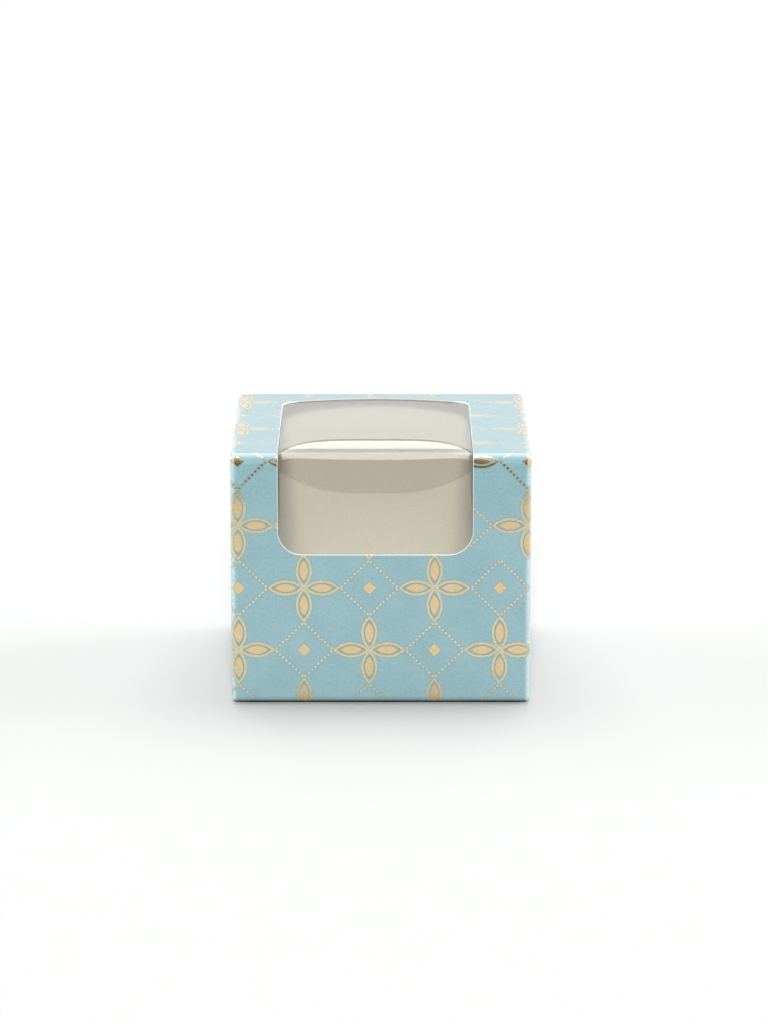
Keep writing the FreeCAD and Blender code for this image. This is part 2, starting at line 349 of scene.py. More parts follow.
        # Painted shade darkens a band about 0.3 mm wide outside the foil's edge, and the gap inside a petal is
        # darkened too
        rim = add(tree, "MapRange", [foil, -0.020, -0.003, 0.0, self.edge_shade_share])
        gap = add(tree, "MapRange", [lattice.hollow, -0.004, 0.006, 0.0, self.gap_share])
        edge_shade_and_gap = add(tree, "Math MAXIMUM", [rim, gap])
        colour = ink
        for share, tint in ((crack, linear(self.worn)), (edge_shade_and_gap, linear(self.rim)), (body, gold)):
            colour = add(tree, "Mix", {0: share, 6: colour, 7: tint}, data_type="RGBA").outputs[2]
        sheen = add(tree, "MapRange", [grain, 0.3, 0.7, *self.varnish_rough])
        rough = add(tree, "Mix", {0: body, 2: sheen, 3: self.foil_rough})
        raised = add(tree, "Math MULTIPLY_ADD", [grain, 0.06, body])
        step = {"Height": raised, "Strength": self.foil_step, "Distance": self.foil_mm * MM}
        bump = add(tree, "Bump", step)
        # The foil has its own lacquer, which whitens it at a low angle
        clear = add(tree, "MapRange", {0: body, 3: self.varnish, 4: self.lacquer})
        finish = {"Base Color": colour, "Metallic": body, "Roughness": rough, "Normal": bump, "IOR": self.ior}
        coat = {"Coat Weight": clear, "Coat Roughness": self.coat_rough, "Coat IOR": self.ior}
        add(tree, "OutputMaterial", [add(tree, "BsdfPrincipled", finish | coat)])
        return material


@dataclass(frozen=True)
class BoardReverse:
    """Uncoated reverse of recycled carton board, as it leaves the board machine."""

    # The bare fibres give a dull warm grey with paler and darker flecks and no sheen.
    pulp: str = "C9C6C0"
    fleck: str = "C1BDB6"
    fleck_mm: float = 0.9
    fleck_squeeze: float = 2.4
    fibre_mm: float = 0.03
    rough: float = 0.85
    ior: float = 1.45

    def build(self) -> Material:
        """Makes the material and returns it."""
        material, tree = new_material("uncoated_board_reverse")
        uv = add(tree, "UVMap", uv_map="blank")
        # The fibres lie round the box, so the flecks are short up and down
        grain = (UV_UNIT, UV_UNIT * self.fleck_squeeze, 1.0)
        blank = add(tree, "VectorMath MULTIPLY", [uv, grain])
        fibre = add(tree, "TexNoise", {"Vector": blank, "Scale": 1 / self.fleck_mm, "Detail": 4.0})
        colour = ramp(add(tree, "ValToRGB", [fibre]), ((0.34, self.fleck), (0.58, self.pulp)))
        bump = add(tree, "Bump", {"Height": fibre, "Strength": 0.3, "Distance": self.fibre_mm * MM})
        finish = {"Base Color": colour, "Roughness": self.rough, "Normal": bump, "IOR": self.ior}
        add(tree, "OutputMaterial", [add(tree, "BsdfPrincipled", finish)])
        return material


@dataclass(frozen=True)
class DieCutEdge:
    """Bleached core of the board where the die has cut it."""

    # The steel rule tears the fibres a little, so the edge is white, dull and slightly furred.
    pulp: str = "D8DCDA"
    shade: str = "C6CAC8"
    tuft_mm: float = 0.3
    rough: float = 0.9
    ior: float = 1.45

    def build(self) -> Material:
        """Makes the material and returns it."""
        material, tree = new_material("die_cut_board_core")
        place = add(tree, "TexCoord").outputs["Object"]
        # The fibre tufts are drawn coarser than they are, so that they show
        fibre = add(tree, "TexNoise", {"Vector": place, "Scale": 1 / (self.tuft_mm * MM), "Detail": 2.0})
        colour = ramp(add(tree, "ValToRGB", [fibre]), ((0.35, self.shade), (0.55, self.pulp)))
        finish = {"Base Color": colour, "Roughness": self.rough, "IOR": self.ior}
        add(tree, "OutputMaterial", [add(tree, "BsdfPrincipled", finish)])
        return material


@dataclass(frozen=True)
class ClearFilm:
    """Cast clear polyester film, cold bent over the crease."""

    # Cast film is glass clear and glossy: it shows the inside of the box, with sharp soft-box
    # reflections that grow strong at a low angle, and a faint waviness from the web.
    clear: str = "FBFAF6"
    gloss: str = "F6F6F2"
    ior: float = 1.65
    rough: float = 0.06
    wave_mm: float = 14.0
    wave_stretch: float = 0.3
    wave_high_mm: float = 0.05

    def build(self) -> Material:
        """Makes the material and returns it."""
        material, tree = new_material("cast_clear_polyester_film")
        back = add(tree, "NewGeometry").outputs["Backfacing"]
        ior = add(tree, "MapRange", {0: back, 3: self.ior, 4: 1 / self.ior})
        uv = add(tree, "UVMap", uv_map="blank")
        web = (UV_UNIT, UV_UNIT * self.wave_stretch, 1.0)
        blank = add(tree, "VectorMath MULTIPLY", [uv, web])
        wave = add(tree, "TexNoise", {"Vector": blank, "Scale": 1 / self.wave_mm, "Detail": 1.0})
        bump = add(tree, "Bump", {"Height": wave, "Strength": 0.4, "Distance": self.wave_high_mm * MM})
        share = add(tree, "Fresnel", {"IOR": ior, "Normal": bump})
        clear = add(tree, "BsdfTransparent", {"Color": linear(self.clear)})
        mirror = {"Base Color": linear(self.gloss), "Metallic": 1.0, "Roughness": self.rough, "Normal": bump}
        gloss = add(tree, "BsdfPrincipled", mirror)
        add(tree, "OutputMaterial", [add(tree, "MixShader", [share, clear, gloss])])
        return material


@dataclass(frozen=True)
class Finishes:
    """The four finishes of the box, made once and shared by its pieces."""

    printed: Material
    reverse: Material
    edge: Material
    film: Material

    def board(self) -> list[Material]:
        """Returns the slots of a printed piece of board, in the order of Face."""
        return [self.printed, self.edge, self.reverse]

    def plain(self) -> list[Material]:
        """Returns the slots of an unprinted piece of board, in the order of Face."""
        return [self.reverse, self.edge, self.reverse]


def eased(t: float | np.ndarray) -> float | np.ndarray:
    """Turns an even course from 0 to 1 into one that starts and ends slowly."""
    return t * t * (3 - 2 * t)


@dataclass(frozen=True)
class Crease:
    """One bend across a run of board: where it starts, how much board it takes, and its turn in degrees."""

    start: float
    length: float
    turn: float


class BoardRun:
    """Section through bent board, which turns the distance along the board into a place and a direction."""

    # Distances in mm that every run covers, and the step that it is added up in
    LOW, HIGH, STEP = -240.0, 260.0, 0.05

    def __init__(self, creases: Sequence[Crease], zero: float = 0.0, first_turn: float = 0.0) -> None:
        """Adds up the run.

        Args:
            creases: the bends along the run.
            zero: distance at which the run passes through its origin, on a flat part.
            first_turn: direction in degrees before the first bend.
        """
        self.creases = creases
        self.q = np.arange(self.LOW, self.HIGH, self.STEP)
        turn = np.full_like(self.q, math.radians(first_turn))
        for crease in creases:
            turn += math.radians(crease.turn) * np.clip((self.q - crease.start) / crease.length, 0, 1)
        self.turn = turn
        middle = (turn[1:] + turn[:-1]) / 2
        along, out = (
            np.concatenate(([0.0], np.cumsum(way * self.STEP))) for way in (np.cos(middle), -np.sin(middle))
        )
        self.along = along - np.interp(zero, self.q, along)
        self.out = out - np.interp(zero, self.q, out)

    def at(self, q: np.ndarray) -> tuple[np.ndarray, np.ndarray, np.ndarray]:
        """Looks up the run.

        Args:
            q: distances along the board in mm.

        Returns:
            Place along and out from the origin, and the turn in radians.
        """
        along, out, turn = (np.interp(q, self.q, values) for values in (self.along, self.out, self.turn))
        return along, out, turn


def rounded(corners: Outline, step: float = 0.8) -> list[tuple[float, float, float]]:
    """Rounds the corners of an outline.

    Args:
        corners: q, u, corner radius and the lip of the edge that follows, in mm.
        step: length of the pieces that make up a corner.

    Returns:
        q, u and the lip of the edge that follows, for each point.
    """
    made: list[tuple[float, float, float]] = []
    count = len(corners)
    for i, (q, u, radius, lip) in enumerate(corners):
        here = np.array((q, u))
        if radius <= 0:
            made.append((q, u, lip))
            continue
        before = np.array(corners[i - 1][:2]) - here
        after = np.array(corners[(i + 1) % count][:2]) - here
        before, after = before / np.linalg.norm(before), after / np.linalg.norm(after)
        half = math.acos(max(-1.0, min(1.0, float(before @ after)))) / 2
        reach = radius / math.tan(half)
        start, end = here + before * reach, here + after * reach
        centre = here + (before + after) / np.linalg.norm(before + after) * (radius / math.sin(half))
        a0 = math.atan2(*(start - centre)[::-1])
        sweep = (math.atan2(*(end - centre)[::-1]) - a0 + math.pi) % (2 * math.pi) - math.pi
        pieces = max(3, math.ceil(abs(sweep) * radius / step))
        for k in range(pieces + 1):
            a = a0 + sweep * k / pieces
            edge = lip if k == pieces else max(lip, corners[i - 1][3])
            made.append((centre[0] + radius * math.cos(a), centre[1] + radius * math.sin(a), edge))
    return made


def within(points: np.ndarray, loop: np.ndarray) -> np.ndarray:
    """Tells which points lie inside a closed outline.

    Args:
        points: rows of two numbers.
        loop: corners of the outline.

    Returns:
        One truth value for each point.
    """
    found = np.zeros(len(points), bool)
    for (x0, y0), (x1, y1) in zip(loop, np.roll(loop, -1, 0)):
        crosses = (y0 > points[:, 1]) != (y1 > points[:, 1])
        if abs(y1 - y0) > 1e-12:
            found ^= crosses & (points[:, 0] < (x1 - x0) * (points[:, 1] - y0) / (y1 - y0) + x0)
    return found


@dataclass
class BoardPiece:
    """One panel or flap of the die-cut blank: its outline on the flat board, and the run that bends it."""

    name: str
    run: BoardRun
    origin: Way
    along: Way
    out: Way
    across: Way
    outline: Outline
    blank: Callable[[np.ndarray, np.ndarray], tuple[np.ndarray, np.ndarray]]
    ease: Optional[Callable[[np.ndarray, np.ndarray], np.ndarray]] = None
    strips: int = 8
    board: float = 0.4
    dip: float = 0.1
    grid: float = 4.0
    edge_step: float = 2.5
    clear_row: float = 0.8
    clear_edge: float = 1.2
    # Points closer than this are one, points this near an edge lie on it, and thinner triangles are dropped
    merge: float = 1e-4
    on_edge: float = 1e-3
    least_area: float = 1e-7

    def place(self, q: np.ndarray, u: np.ndarray, deep: np.ndarray) -> np.ndarray:
        """Bends points of the flat board into place.

        Args:
            q: distances along the run in mm.
            u: distances across it in mm.
            deep: depths below the printed face in mm.

        Returns:
            Points in metres, one a row.
        """
        a, n, turn = self.run.at(q)
        sunk = self.ease(q, u) if self.ease else np.zeros_like(q)
        a, n = a - deep * np.sin(turn), n - deep * np.cos(turn) - sunk
        ways = (self.along, self.out, self.across)
        moved = (np.outer(size, way) for size, way in zip((a, n, u), ways))
        return sum(moved, np.array(self.origin)) * MM

    def trace(self) -> tuple[np.ndarray, np.ndarray, np.ndarray]:
        """Divides the outline and draws the line where its cut lip starts.

        Returns:
            Outline points, the lip of the edge after each, and the points of the lip's inner line.
        """
        corners = rounded(self.outline)
        area = sum(a[0] * b[1] - b[0] * a[1] for a, b in zip(corners, corners[1:] + corners[:1]))
        if area < 0:
            lips = [c[2] for c in corners]
            corners = [(c[0], c[1], lips[i - 1]) for i, c in enumerate(corners)][::-1]
        points, lips = [], []
        for (q0, u0, lip), (q1, u1, _) in zip(corners, corners[1:] + corners[:1]):
            pieces = max(1, math.ceil(math.hypot(q1 - q0, u1 - u0) / self.edge_step))
            for k in range(pieces):
                points.append((q0 + (q1 - q0) * k / pieces, u0 + (u1 - u0) * k / pieces))
                lips.append(lip)
        loop, lip = np.array(points), np.array(lips)
        way = np.roll(loop, -1, 0) - loop
        way /= np.linalg.norm(way, axis=1)[:, None]
        inward = np.stack((-way[:, 1], way[:, 0]), 1)
        inner = loop.copy()
        for i in range(len(loop)):
            n0, n1, l0, l1 = inward[i - 1], inward[i], lip[i - 1], lip[i]
            turn = n0[0] * n1[1] - n0[1] * n1[0]
            if abs(turn) > 0.05:
                inner[i] += np.array((l0 * n1[1] - l1 * n0[1], l1 * n0[0] - l0 * n1[0])) / turn
            else:
                inner[i] += (n0 + n1) / 2 * max(l0, l1)
        return loop, lip, inner

    def flat_mesh(self) -> tuple[np.ndarray, list[tuple[int, int, int]], np.ndarray, np.ndarray]:
        """Divides the flat board into triangles.

        Returns:
            Points, triangles, which triangles lie in the cut lip, and how deep each point of the print dips.
        """
        loop, lip, inner = self.trace()
        points = [tuple(x) for x in (*loop, *inner)]
        count = len(loop)
        edges = [(k + i, k + (i + 1) % count) for k in (0, count) for i in range(count)]
        low, high = loop.min(0), loop.max(0)
        lines = range(self.strips + 1)
        rows = sorted(c.start + c.length * k / self.strips for c in self.run.creases for k in lines)
        for q in rows:
            start = len(points)
            us = np.arange(low[1] - 1, high[1] + 1 + self.grid, self.grid)
            points += [(q, float(u)) for u in us]
            edges += [(start + k, start + k + 1) for k in range(len(us) - 1)]
        qs, us = np.meshgrid(np.arange(low[0], high[0], self.grid), np.arange(low[1], high[1], self.grid))
        grid = np.stack((qs.ravel(), us.ravel()), 1)
        keep = within(grid, inner)
        for q in rows:
            keep &= np.abs(grid[:, 0] - q) > self.clear_row
        gap = np.min(np.linalg.norm(grid[:, None] - np.concatenate((loop, inner))[None], axis=2), axis=1)
        points += [tuple(x) for x in grid[keep & (gap > self.clear_edge)]]
        found = delaunay_2d_cdt([Vector(p) for p in points], edges, [], 0, self.merge, False)
        flat = np.array([tuple(v) for v in found[0]])
        triangles = np.array([tuple(f) for f in found[2]])
        middle = flat[triangles].mean(1)
        inside = within(middle, loop)
        triangles, middle = triangles[inside], middle[inside]
        corner = flat[triangles]
        side0, side1 = corner[:, 1] - corner[:, 0], corner[:, 2] - corner[:, 0]
        area = side0[:, 0] * side1[:, 1] - side0[:, 1] * side1[:, 0]
        triangles = np.where((area < 0)[:, None], triangles[:, ::-1], triangles)
        sound = np.abs(area) > self.least_area
        triangles, middle = triangles[sound], middle[sound]
        used, index = np.unique(triangles, return_inverse=True)
        flat, triangles = flat[used], index.reshape(-1, 3)
        dips = np.zeros(len(flat))
        for (a, b), width in zip(zip(loop, np.roll(loop, -1, 0)), lip):
            if width > 0:
                share = np.clip(((flat - a) @ (b - a)) / ((b - a) @ (b - a)), 0, 1)
                dips[np.linalg.norm(flat - a - share[:, None] * (b - a), axis=1) < self.on_edge] = self.dip
        return flat, [tuple(t) for t in triangles], ~within(middle, inner), dips

    def build(self, slots: Sequence[Material]) -> Object:
        """Makes the bent piece of board with its printed face, reverse and cut edge.

        Args:
            slots: materials in the order of Face.

        Returns:
            The new object.
        """
        flat, triangles, in_lip, dips = self.flat_mesh()
        count = len(flat)
        depths = (dips, np.full(count, self.board))
        points = np.concatenate([self.place(flat[:, 0], flat[:, 1], deep) for deep in depths])
        faces: list[tuple[int, ...]] = []
        kinds: list[int] = []
        edges: list[tuple[int, int]] = []
        for triangle, lip in zip(triangles, in_lip):
            faces += [triangle, tuple(x + count for x in triangle[::-1])]
            kinds += [Face.EDGE if lip else Face.PRINT, Face.REVERSE]
            edges += zip(triangle, triangle[1:] + triangle[:1])
        paired = set(edges)
        for a, b in edges:
            if (b, a) not in paired:
                faces.append((b, a, a + count, b + count))
                # Cut faces without a lip take the darker reverse board, which lays painted shade along the lid
                # window's bowed back edge
                kinds.append(Face.EDGE if dips[a] > 0 and dips[b] > 0 else Face.REVERSE)
        if np.dot(np.cross(self.along, self.across), self.out) < 0:
            faces = [f[::-1] for f in faces]
        s, h = self.blank(flat[:, 0], flat[:, 1])
        marks = np.tile(np.stack((s, h), 1) / UV_UNIT, (2, 1))
        return make_piece(self.name, points, faces, kinds, marks, slots)


def link(name: str, data: ID) -> Object:
    """Makes an object of a mesh, camera or light and links it into the scene."""
    thing = bpy.data.objects.new(name, data)
    bpy.context.scene.collection.objects.link(thing)
    return thing


def make_piece(
    name: str,
    points: np.ndarray,
    faces: Sequence[Sequence[int]],
    kinds: Sequence[int],
    marks: np.ndarray,
    slots: Sequence[Material],
) -> Object:
    """Makes an object from points and faces.

    Args:
        name: name of the piece.
        points: places in metres.
        faces: corners of each face.
        kinds: material slot of each face.
        marks: coordinates on the flat blank of each point, in units of its UV map.
        slots: materials.

    Returns:
        The new object, linked into the scene.
    """
    mesh = bpy.data.meshes.new(name)
    mesh.from_pydata([tuple(p) for p in points], [], [tuple(int(i) for i in f) for f in faces])
    for material in slots:
        mesh.materials.append(material)
    mesh.polygons.foreach_set("material_index", [int(k) for k in kinds])
    layer = mesh.uv_layers.new(name="blank")
    corners = np.zeros(len(mesh.loops), np.int32)
    mesh.loops.foreach_get("vertex_index", corners)
    layer.data.foreach_set("uv", marks[corners].astype(np.float32).ravel())
    work = bmesh.new()
    work.from_mesh(mesh)
    for face in work.faces:
        face.smooth = True
    for edge in work.edges:
        sides = edge.link_faces
        shallow = len(sides) == 2 and edge.calc_face_angle(0) < SMOOTH_ANGLE
        edge.smooth = shallow and sides[0].material_index == sides[1].material_index
    work.to_mesh(mesh)
    work.free()
    piece = link(name, mesh)
    log.info("%s: %d points, %d faces", name, len(mesh.vertices), len(mesh.polygons))
    return piece


@dataclass(frozen=True)
class Blank:
    """Sizes of the die-cut blank in mm: creases and window by the photograph, the rest by the solids."""

    width: float = 88.9
    depth: float = 88.9
    height: float = 76.2
    board: float = 0.4
    fold: float = 1.2
    lid_half: float = 44.0
    seam: float = 0.6
    window_left: float = -30.45
    window_right: float = 27.25
    window_low: float = 46.1
    window_reach: float = 30.5
    window_bow: float = 5.9
    window_corner: float = 7.2
    window_lip: float = 0.13
    edge_lip: float = 0.06
    crease_top: float = 73.05
    crease_low: float = 2.6
    lean_start: float = 61.5
    lean_turn: float = 7.5
    lean_fade: float = 3.6
    # Creases of the dust flaps on the side walls, and where their roots end
    side_top: float = 74.3
    side_low: float = 1.9
    root_front: float = -41.95
    root_back: float = 41.0

    @property
    def flat(self) -> float:
        """Half width of a wall between its folds."""
        return self.width / 2 - self.fold

    @property
    def quarter(self) -> float:
        """Board taken by a right-angle fold."""
        return self.fold * math.pi / 2

    @property
    def turn_s(self) -> float:
        """Distance round the blank from the front's middle to the side wall's flat."""
        return self.flat + self.quarter

    @property
    def window_middle(self) -> float:
        """Middle of the window across the box."""
        return (self.window_left + self.window_right) / 2

    @property
    def window_half(self) -> float:
        """Half width of the window."""
        return (self.window_right - self.window_left) / 2

    def window_back(self, x: float) -> float:
        """Place of the window's bowed back edge, by the distance from the middle of the box."""
        return self.window_reach + self.window_bow * (1 - ((x - self.window_middle) / self.window_half) ** 2)

    def lean(self, h: np.ndarray, x: np.ndarray) -> np.ndarray:
        """How far the front wall leans back below the lid crease, as the closed lid pulls it.

        Args:
            h: height on the blank in mm.
            x: distance from the middle in mm.

        Returns:
            Depths behind the flat front in mm.
        """
        top = self.crease_top
        up = np.clip(h - self.lean_start, 0, top - self.lean_start)
        sunk = math.tan(math.radians(self.lean_turn)) * up**2 / (2 * (top - self.lean_start))
        over = 1 - np.clip((h - top) / self.lean_fade, 0, 1)
        aside = np.clip((np.abs(x) - self.flat) / (self.quarter + self.seam), 0, 1)
        return sunk * eased(over) * (1 - eased(aside))


@dataclass
class Tube:
    """The four walls of the carton and the glue flap of its seam."""

    blank: Blank
    finishes: Finishes
    toe_low: float = 1.7
    toe_high: float = 3.0
    toe_power: float = 1.8
    toe_pieces: int = 5
    head_low: float = 74.9
    head_high: float = 75.6
    raw_low: float = 0.8
    raw_top: float = 75.4
    back_half: float = 44.15
    back_low: float = 0.3
    back_top: float = 75.9
    back_step: float = 0.6
    back_corner: float = 0.5
    glue_fold: float = 42.8
    glue_s: float = 133.07
    glue_y: float = 44.0
    glue_reach: float = 11.8
    glue_low: float = 6.9
    glue_top: float = 69.3
    glue_corner: float = 2.0

    def front(self) -> Object:
        """Front wall with both corner folds and the front half of the window."""
        b = self.blank
        seam_top, seam_low = b.crease_top - b.seam, b.crease_low + b.seam
        # The corners between two creases are cut round at the foot and short at the head
        reach, rise, n = b.quarter + b.seam, self.toe_high - self.toe_low, self.toe_pieces
        toe = [(b.flat + reach * k / n, self.toe_low + rise * (k / n) ** self.toe_power) for k in range(n + 1)]
        head = [(b.flat + reach, self.head_high), (b.flat, self.head_low)]
        outline: Outline = [(-s, z, 0, 0) for s, z in reversed(toe)]
        outline += [(-b.flat, seam_low, 0, 0), (b.flat, seam_low, 0, 0)]
        outline += [(s, z, 0, 0) for s, z in toe + head]
        outline += [
            (b.flat, seam_top, 0, 0), (b.window_right, seam_top, 0, b.window_lip),
            (b.window_right, b.window_low, b.window_corner, b.window_lip),
            (b.window_left, b.window_low, b.window_corner, b.window_lip),
            (b.window_left, seam_top, 0, 0), (-b.flat, seam_top, 0, 0),
        ]
        outline += [(-s, z, 0, 0) for s, z in reversed(head)]
        run = BoardRun([Crease(-b.turn_s, b.quarter, 90), Crease(b.flat, b.quarter, 90)], 0.0, -90.0)
        piece = BoardPiece(
            "front_board", run, (0, -b.depth / 2, 0), (1, 0, 0), (0, -1, 0), (0, 0, 1), outline,
            lambda q, u: (q, u), lambda q, u: b.lean(u, q), grid=3.0,
        ).build(self.finishes.board())
        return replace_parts(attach(piece, "carton"), "front_panel")

    def side(self, side: Side) -> Object:
        """Makes a side wall between the front's fold and the back's.

        Args:
            side: which wall.

        Returns:
            The wall, riding on the carton.
        """
        b, sign, word = self.blank, side.value, side.name.lower()
        # The left wall carries the fold to the glue flap, the right one stops short of the back's fold
        back = b.flat - b.seam if side is Side.RIGHT else self.glue_fold + b.quarter
        front = -b.flat + b.seam
        middle = b.turn_s + b.flat
        seam_low, seam_top = b.side_low + b.seam, b.side_top - b.seam
        outline: Outline = [
            (y + middle, z, 0, lip)
            for y, z, lip in (
                (front, self.toe_high, 0), (b.root_front, seam_low, 0), (b.root_back, seam_low, 0),
                (b.root_back, self.raw_low, b.edge_lip), (back, self.raw_low, 0),
                (back, self.raw_top, b.edge_lip), (b.root_back, self.raw_top, 0),
                (b.root_back, seam_top, 0), (b.root_front, seam_top, 0),
                (b.root_front, self.head_low, 0), (front, self.head_high, 0),
            )
        ]
        creases = [Crease(middle + self.glue_fold, b.quarter, 90)] if side is Side.LEFT else []
        piece = BoardPiece(
            f"{word}_board", BoardRun(creases, middle), (sign * b.width / 2, 0, 0), (0, 1, 0), (sign, 0, 0),
            (0, 0, 1), outline, lambda q, u: (sign * q, u),
        ).build(self.finishes.board())
        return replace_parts(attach(piece, "carton"), f"{word}_panel")

    def back(self) -> Object:
        """Back wall with the right fold; its left edge is the raw edge of the glued seam."""
        b, lip = self.blank, self.blank.edge_lip
        start = b.turn_s + 2 * b.flat
        root, fold_end = start - b.seam, start + b.quarter
        middle = fold_end + b.flat
        end, shoulder = middle + self.back_half, fold_end + self.back_step
        outline: Outline = [
            (root, self.raw_low, 0, lip), (fold_end, self.raw_low, 0, 0), (shoulder, self.back_low, 0, lip),
            (end, self.back_low, self.back_corner, lip), (end, self.back_top, self.back_corner, lip),
            (shoulder, self.back_top, 0, lip), (fold_end, self.raw_top, 0, lip), (root, self.raw_top, 0, 0),
        ]
        run = BoardRun([Crease(start, b.quarter, 90)], middle, -90.0)
        piece = BoardPiece(
            "back_board", run, (0, b.depth / 2, 0), (-1, 0, 0), (0, 1, 0), (0, 0, 1), outline,
            lambda q, u: (q, u),
        ).build(self.finishes.board())
        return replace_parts(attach(piece, "carton"), "back_panel")

    def glue_flap(self) -> Object:
        """Unprinted flap on the left wall that is glued inside the back wall."""
        b, lip = self.blank, self.blank.edge_lip
        outline: Outline = [
            (-self.glue_reach, self.glue_low, self.glue_corner, lip), (0, b.side_low, 0, 0),
            (0, b.side_top, 0, lip), (-self.glue_reach, self.glue_top, self.glue_corner, lip),
        ]
        piece = BoardPiece(
            "glue_flap_board", BoardRun([]), (-b.flat, self.glue_y, 0), (-1, 0, 0), (0, 1, 0), (0, 0, 1),
            outline, lambda q, u: (q - self.glue_s, u),
        ).build(self.finishes.plain())
        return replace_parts(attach(piece, "carton"), "glue_flap")


class DoubleBend(NamedTuple):
    """A soft crease: a tight bend to a turn in degrees, flat board, and a slow bend to the right angle."""

    turn: float
    tight: float
    between: float
    slow: float


@dataclass
class Closure:
    """A tuck end: the panel hinged on the front wall, its tuck, and the two dust flaps on the side walls."""

    blank: Blank
    finishes: Finishes
    end: End
    # The base bows: its front edge stands just off the floor and the board runs down behind it
    lid_bend: DoubleBend = DoubleBend(50, 0.8, 2.2729, 4.6)
    base_bend: DoubleBend = DoubleBend(76, 1.7, 2.948, 8.0)
    base_turned: tuple[float, float] = (1.29, 0.95)
    corner: float = 0.5
    side_start: float = 0.8
    bow_pieces: int = 24
    tuck_fold: float = 42.0
    tuck_root: float = 42.9
    tuck_tip: float = 40.4
    tuck_length: float = 16.0
    tuck_corner: float = 8.0
    tuck_lean: float = 8.0
    top_dust: tuple[float, float] = (8.8, 2.5)
    base_dust: tuple[float, float] = (24.8, 4.0)
    dust_taper: float = 2.0

    @property
    def word(self) -> str:
        """Name of the panel: lid or base."""
        return "lid" if self.end is End.TOP else "base"

    def bend(self) -> tuple[list[Crease], float, float]:
        """Works out the panel's crease on the front wall.

        Returns:
            Its bends, and where along the board and how far behind the front face the panel lies flat.
        """
        b, top = self.blank, self.end is End.TOP
        start = b.crease_top if top else -b.crease_low
        turn, tight, between, slow = self.lid_bend if top else self.base_bend
        a, first, second = math.radians(turn), tight * math.radians(turn), slow * math.radians(90 - turn)
        creases = [Crease(start, first, turn), Crease(start + first + between, second, 90 - turn)]
        back = tight * (1 - math.cos(a)) + between * math.sin(a) + slow * math.cos(a)
        return creases, start + first + between + second, back

    def panel(self) -> Object:
        """Makes the hinged panel with its crease, and on the lid the back half of the window.

        Returns:
            The panel, bending between the carton and its own body.
        """
        b, top, sign = self.blank, self.end is End.TOP, self.end.value
        lip, corner, root = b.edge_lip, self.corner, self.tuck_root
        creases, flat_q, behind = self.bend()
        start = creases[0].start
        seam, near = start - b.seam, flat_q + self.side_start
        away = flat_q - behind + b.depth / 2
        back = self.tuck_fold - b.seam + away
        ear = back + corner
        outline: Outline = [
            (seam, -b.flat, 0, 0), (near, -b.lid_half, corner, lip), (ear, -b.lid_half, corner, lip),
            (ear, -root, 0, 0), (back, -root, 0, 0), (back, root, 0, 0), (ear, root, 0, lip),
            (ear, b.lid_half, corner, lip), (near, b.lid_half, corner, 0), (seam, b.flat, 0, 0),
        ]
        if top:
            last = self.bow_pieces
            outline.append((seam, b.window_right, 0, b.window_lip))
            # Two points of the bow at each end make room for the round corner
            for k in (0, *range(3, last - 2), last):
                x = b.window_right - 2 * b.window_half * k / last
                radius = b.window_corner if k in (0, last) else 0
                # The bowed back edge has no lip, so its cut face takes the darker reverse board as painted
                # shade
                outline.append((b.window_back(x) + away, x, radius, b.window_lip if k == last else 0))
            outline.append((seam, b.window_left, 0, 0))
        piece = BoardPiece(
            f"{self.word}_board", BoardRun(creases, start), (0, -b.depth / 2, sign * start), (0, 0, sign),
            (0, -1, 0), (1, 0, 0), outline, lambda q, u: (u, sign * q), b.lean if top else None, strips=6,
        ).build(self.finishes.board())
        turned = (behind, b.height) if top else self.base_turned
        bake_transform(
            piece, "carton", self.word, (0, -b.depth / 2 * MM, sign * start * MM),
            (0, (turned[0] - b.depth / 2) * MM, turned[1] * MM),
        )
        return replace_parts(piece, f"{self.word}_panel")

    def tuck(self) -> Object:
        """Makes the tuck flap with its crease on the panel's back edge.

        Returns:
            The tuck, bending between the panel's body and its own.
        """
        b, sign, lip = self.blank, self.end.value, self.blank.edge_lip
        bend = b.fold * math.radians(90 + self.tuck_lean)
        root, tip = self.tuck_fold + bend, self.tuck_fold + bend + self.tuck_length
        seam = self.tuck_fold - b.seam
        outline: Outline = [
            (seam, -self.tuck_root, 0, lip), (root, -self.tuck_root, 0, lip),
            (tip, -self.tuck_tip, self.tuck_corner, lip), (tip, self.tuck_tip, self.tuck_corner, lip),
            (root, self.tuck_root, 0, lip), (seam, self.tuck_root, 0, 0),
        ]
        _, flat_q, behind = self.bend()
        away = flat_q - behind + b.depth / 2
        level = b.height if self.end is End.TOP else 0.0
        run = BoardRun([Crease(self.tuck_fold, bend, 90 + self.tuck_lean)], 0.0)
        piece = BoardPiece(
            f"{self.word}_tuck_board", run, (0, 0, level), (0, 1, 0), (0, 0, sign), (1, 0, 0), outline,
            lambda q, u: (u, sign * (q + away)),
        ).build(self.finishes.board())
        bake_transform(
            piece, self.word, f"{self.word}_tuck", (0, self.tuck_fold * MM, level * MM),
            (0, (self.tuck_fold + b.fold) * MM, (level - sign * b.fold) * MM),
        )
        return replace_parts(piece, f"{self.word}_tuck_flap")

